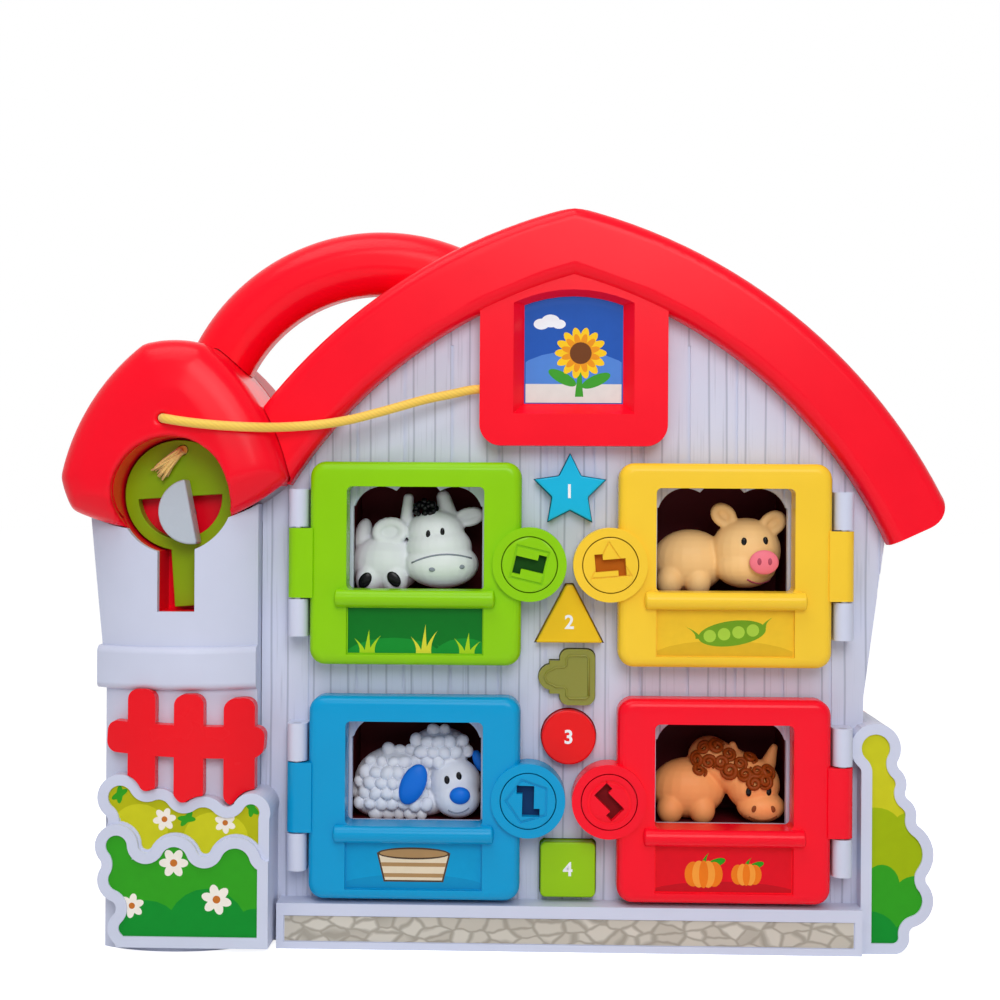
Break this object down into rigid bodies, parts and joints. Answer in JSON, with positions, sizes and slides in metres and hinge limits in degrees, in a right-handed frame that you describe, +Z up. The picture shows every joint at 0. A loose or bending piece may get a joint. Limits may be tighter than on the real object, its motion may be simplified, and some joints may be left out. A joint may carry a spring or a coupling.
{
  "type": "toy barn",
  "caption": "Electronic toy barn with silo, carry handle, keyed doors that swing open over animal stalls, a corded key held by a turn latch, and push buttons with a light.",
  "frame": {"origin": "on the base, under the button column, at the joint of the front and rear shells", "axes": "+X to the viewer's right along the front, +Y from front to back, +Z up"},
  "size_m": [0.2502, 0.0724, 0.2087],
  "materials": {
    "shell_white": "moulded satin",
    "red_plastic": "moulded gloss",
    "rear_red": "moulded satin",
    "fence_red": "moulded gloss",
    "door_green": "moulded gloss",
    "door_yellow": "moulded gloss",
    "door_blue": "moulded gloss",
    "door_red": "moulded gloss",
    "key_green": "moulded gloss",
    "latch_white": "moulded gloss",
    "cord_yellow": "extruded cord",
    "stall_red": "moulded matt",
    "figure_white": "moulded satin",
    "figure_peach": "moulded satin",
    "figure_orange": "moulded satin",
    "button_blue": "moulded gloss",
    "button_yellow": "moulded gloss",
    "button_red": "moulded gloss",
    "button_green": "moulded gloss",
    "lens_olive": "translucent",
    "picture_print": "printed label on plate",
    "steel": "plated",
    "board_green": "laminate",
    "pad_rubber": "moulded",
    "diode_clear": "clear",
    "speaker_black": "mixed",
    "cell_green": "wrapped",
    "switch_black": "moulded"
  },
  "bodies": {
    "root": {"front_shell": "shell_white", "silo_front": "shell_white", "rear_shell": "rear_red", "roof_trim": "red_plastic", "silo_roof": "red_plastic", "carry_handle": "red_plastic", "loft_picture": "picture_print", "fence": "fence_red", "key_pocket": "red_plastic", "key": "key_green", "tether_cord": "cord_yellow", "hinge_pin_green": "steel", "hinge_pin_yellow": "steel", "hinge_pin_blue": "steel", "hinge_pin_red": "steel", "stall_cow": "stall_red", "stall_pig": "stall_red", "stall_sheep": "stall_red", "stall_horse": "stall_red", "cow_figure": "figure_white", "pig_figure": "figure_peach", "sheep_figure": "figure_white", "horse_figure": "figure_orange", "light_lens": "lens_olive", "light_diode": "diode_clear", "button_pads": "pad_rubber", "circuit_board": "board_green", "speaker": "speaker_black", "battery_cells": "cell_green", "battery_contacts": "steel", "battery_door": "rear_red", "battery_screw": "steel", "case_screws": "steel"},
    "door_green": {"door_green": "door_green"},
    "door_yellow": {"door_yellow": "door_yellow"},
    "door_blue": {"door_blue": "door_blue"},
    "door_red": {"door_red": "door_red"},
    "lock_green": {"lock_disc_green": "door_green", "lock_cam_green": "latch_white"},
    "lock_yellow": {"lock_disc_yellow": "door_yellow", "lock_cam_yellow": "latch_white"},
    "lock_blue": {"lock_disc_blue": "door_blue", "lock_cam_blue": "latch_white"},
    "lock_red": {"lock_disc_red": "door_red", "lock_cam_red": "latch_white"},
    "button_star": {"button_star": "button_blue"},
    "button_triangle": {"button_triangle": "button_yellow"},
    "button_round": {"button_round": "button_red"},
    "button_square": {"button_square": "button_green"},
    "key_latch": {"key_latch": "latch_white"},
    "power_switch": {"power_switch": "switch_black"}
  },
  "joints": [
    {"name": "door_green_hinge", "type": "hinge", "parent": "root", "child": "door_green", "pos_m": [-0.0766, -0.0304, 0.1086], "axis": [0, 0, -1], "range_deg": [0, 90]},
    {"name": "door_yellow_hinge", "type": "hinge", "parent": "root", "child": "door_yellow", "pos_m": [0.0766, -0.0304, 0.1086], "axis": [0, 0, 1], "range_deg": [0, 95]},
    {"name": "door_blue_hinge", "type": "hinge", "parent": "root", "child": "door_blue", "pos_m": [-0.0766, -0.0304, 0.0426], "axis": [0, 0, -1], "range_deg": [0, 95]},
    {"name": "door_red_hinge", "type": "hinge", "parent": "root", "child": "door_red", "pos_m": [0.0766, -0.0304, 0.0426], "axis": [0, 0, 1], "range_deg": [0, 95]},
    {"name": "lock_green_turn", "type": "hinge", "parent": "door_green", "child": "lock_green", "pos_m": [-0.0113, -0.0304, 0.1086], "axis": [0, 1, 0], "range_deg": [0, 90]},
    {"name": "lock_yellow_turn", "type": "hinge", "parent": "door_yellow", "child": "lock_yellow", "pos_m": [0.0113, -0.0304, 0.1086], "axis": [0, -1, 0], "range_deg": [0, 90]},
    {"name": "lock_blue_turn", "type": "hinge", "parent": "door_blue", "child": "lock_blue", "pos_m": [-0.0113, -0.0304, 0.0426], "axis": [0, 1, 0], "range_deg": [0, 90]},
    {"name": "lock_red_turn", "type": "hinge", "parent": "door_red", "child": "lock_red", "pos_m": [0.0113, -0.0304, 0.0426], "axis": [0, -1, 0], "range_deg": [0, 90]},
    {"name": "button_star_press", "type": "slide", "parent": "root", "child": "button_star", "axis": [0, 1, 0], "range_m": [0, 0.002], "stiffness_N_per_m": 400},
    {"name": "button_triangle_press", "type": "slide", "parent": "root", "child": "button_triangle", "axis": [0, 1, 0], "range_m": [0, 0.002], "stiffness_N_per_m": 400},
    {"name": "button_round_press", "type": "slide", "parent": "root", "child": "button_round", "axis": [0, 1, 0], "range_m": [0, 0.002], "stiffness_N_per_m": 400},
    {"name": "button_square_press", "type": "slide", "parent": "root", "child": "button_square", "axis": [0, 1, 0], "range_m": [0, 0.002], "stiffness_N_per_m": 400},
    {"name": "key_latch_turn", "type": "hinge", "parent": "root", "child": "key_latch", "pos_m": [-0.1102, -0.027, 0.1221], "axis": [0, -1, 0], "range_deg": [0, 102]},
    {"name": "power_switch_slide", "type": "slide", "parent": "root", "child": "power_switch", "axis": [1, 0, 0], "range_m": [0, 0.005]}
  ]
}
